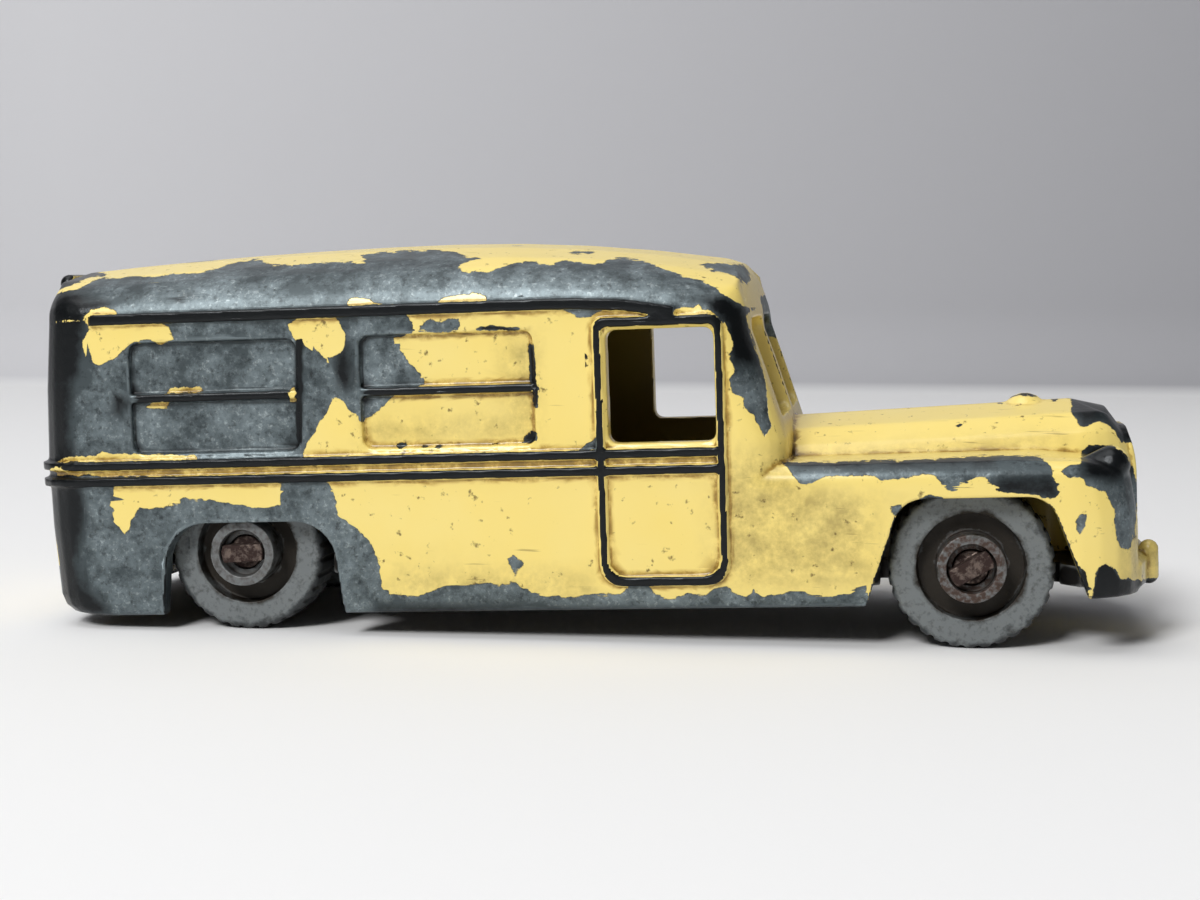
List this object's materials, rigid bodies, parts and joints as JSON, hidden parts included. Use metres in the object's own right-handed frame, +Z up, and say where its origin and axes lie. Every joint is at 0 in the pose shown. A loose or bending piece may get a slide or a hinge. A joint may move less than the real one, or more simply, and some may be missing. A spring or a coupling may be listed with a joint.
{
  "type": "toy ambulance",
  "caption": "Pocket-size die-cast toy ambulance: hollow painted van casting with raised outlines on a riveted base plate, rolling on metal wheels and crimped axles.",
  "frame": {"origin": "on the floor under the middle of the toy's length and width", "axes": "+X towards the bonnet, +Y to the toy's own left, +Z up"},
  "size_m": [0.051, 0.0176, 0.0177],
  "materials": {
    "painted_zinc": "cream-yellow gloss enamel on cast zinc, chipped to bare metal",
    "black_plate": "black enamel, worn",
    "axle_steel": "steel rod with light rust, crimped ends",
    "wheel_metal": "cast zinc alloy, dull grey, grime in the dish"
  },
  "bodies": {
    "body": {"body_casting": "painted_zinc", "base_plate": "black_plate"},
    "front_axle": {"front_axle": "axle_steel"},
    "rear_axle": {"rear_axle": "axle_steel"},
    "front_left_wheel": {"front_left_wheel": "wheel_metal"},
    "front_right_wheel": {"front_right_wheel": "wheel_metal"},
    "rear_left_wheel": {"rear_left_wheel": "wheel_metal"},
    "rear_right_wheel": {"rear_right_wheel": "wheel_metal"}
  },
  "joints": [
    {"name": "front_axle_spin", "type": "hinge", "parent": "body", "child": "front_axle", "pos_m": [0.01723, 0, 0.0036], "axis": [0, 1, 0], "continuous": true},
    {"name": "rear_axle_spin", "type": "hinge", "parent": "body", "child": "rear_axle", "pos_m": [-0.01543, 0, 0.0036], "axis": [0, 1, 0], "continuous": true},
    {"name": "front_left_wheel_spin", "type": "hinge", "parent": "front_axle", "child": "front_left_wheel", "pos_m": [0.01723, 0.00615, 0.0036], "axis": [0, 1, 0], "continuous": true},
    {"name": "front_right_wheel_spin", "type": "hinge", "parent": "front_axle", "child": "front_right_wheel", "pos_m": [0.01723, -0.00615, 0.0036], "axis": [0, 1, 0], "continuous": true},
    {"name": "rear_left_wheel_spin", "type": "hinge", "parent": "rear_axle", "child": "rear_left_wheel", "pos_m": [-0.01543, 0.00615, 0.0036], "axis": [0, 1, 0], "continuous": true},
    {"name": "rear_right_wheel_spin", "type": "hinge", "parent": "rear_axle", "child": "rear_right_wheel", "pos_m": [-0.01543, -0.00615, 0.0036], "axis": [0, 1, 0], "continuous": true}
  ]
}
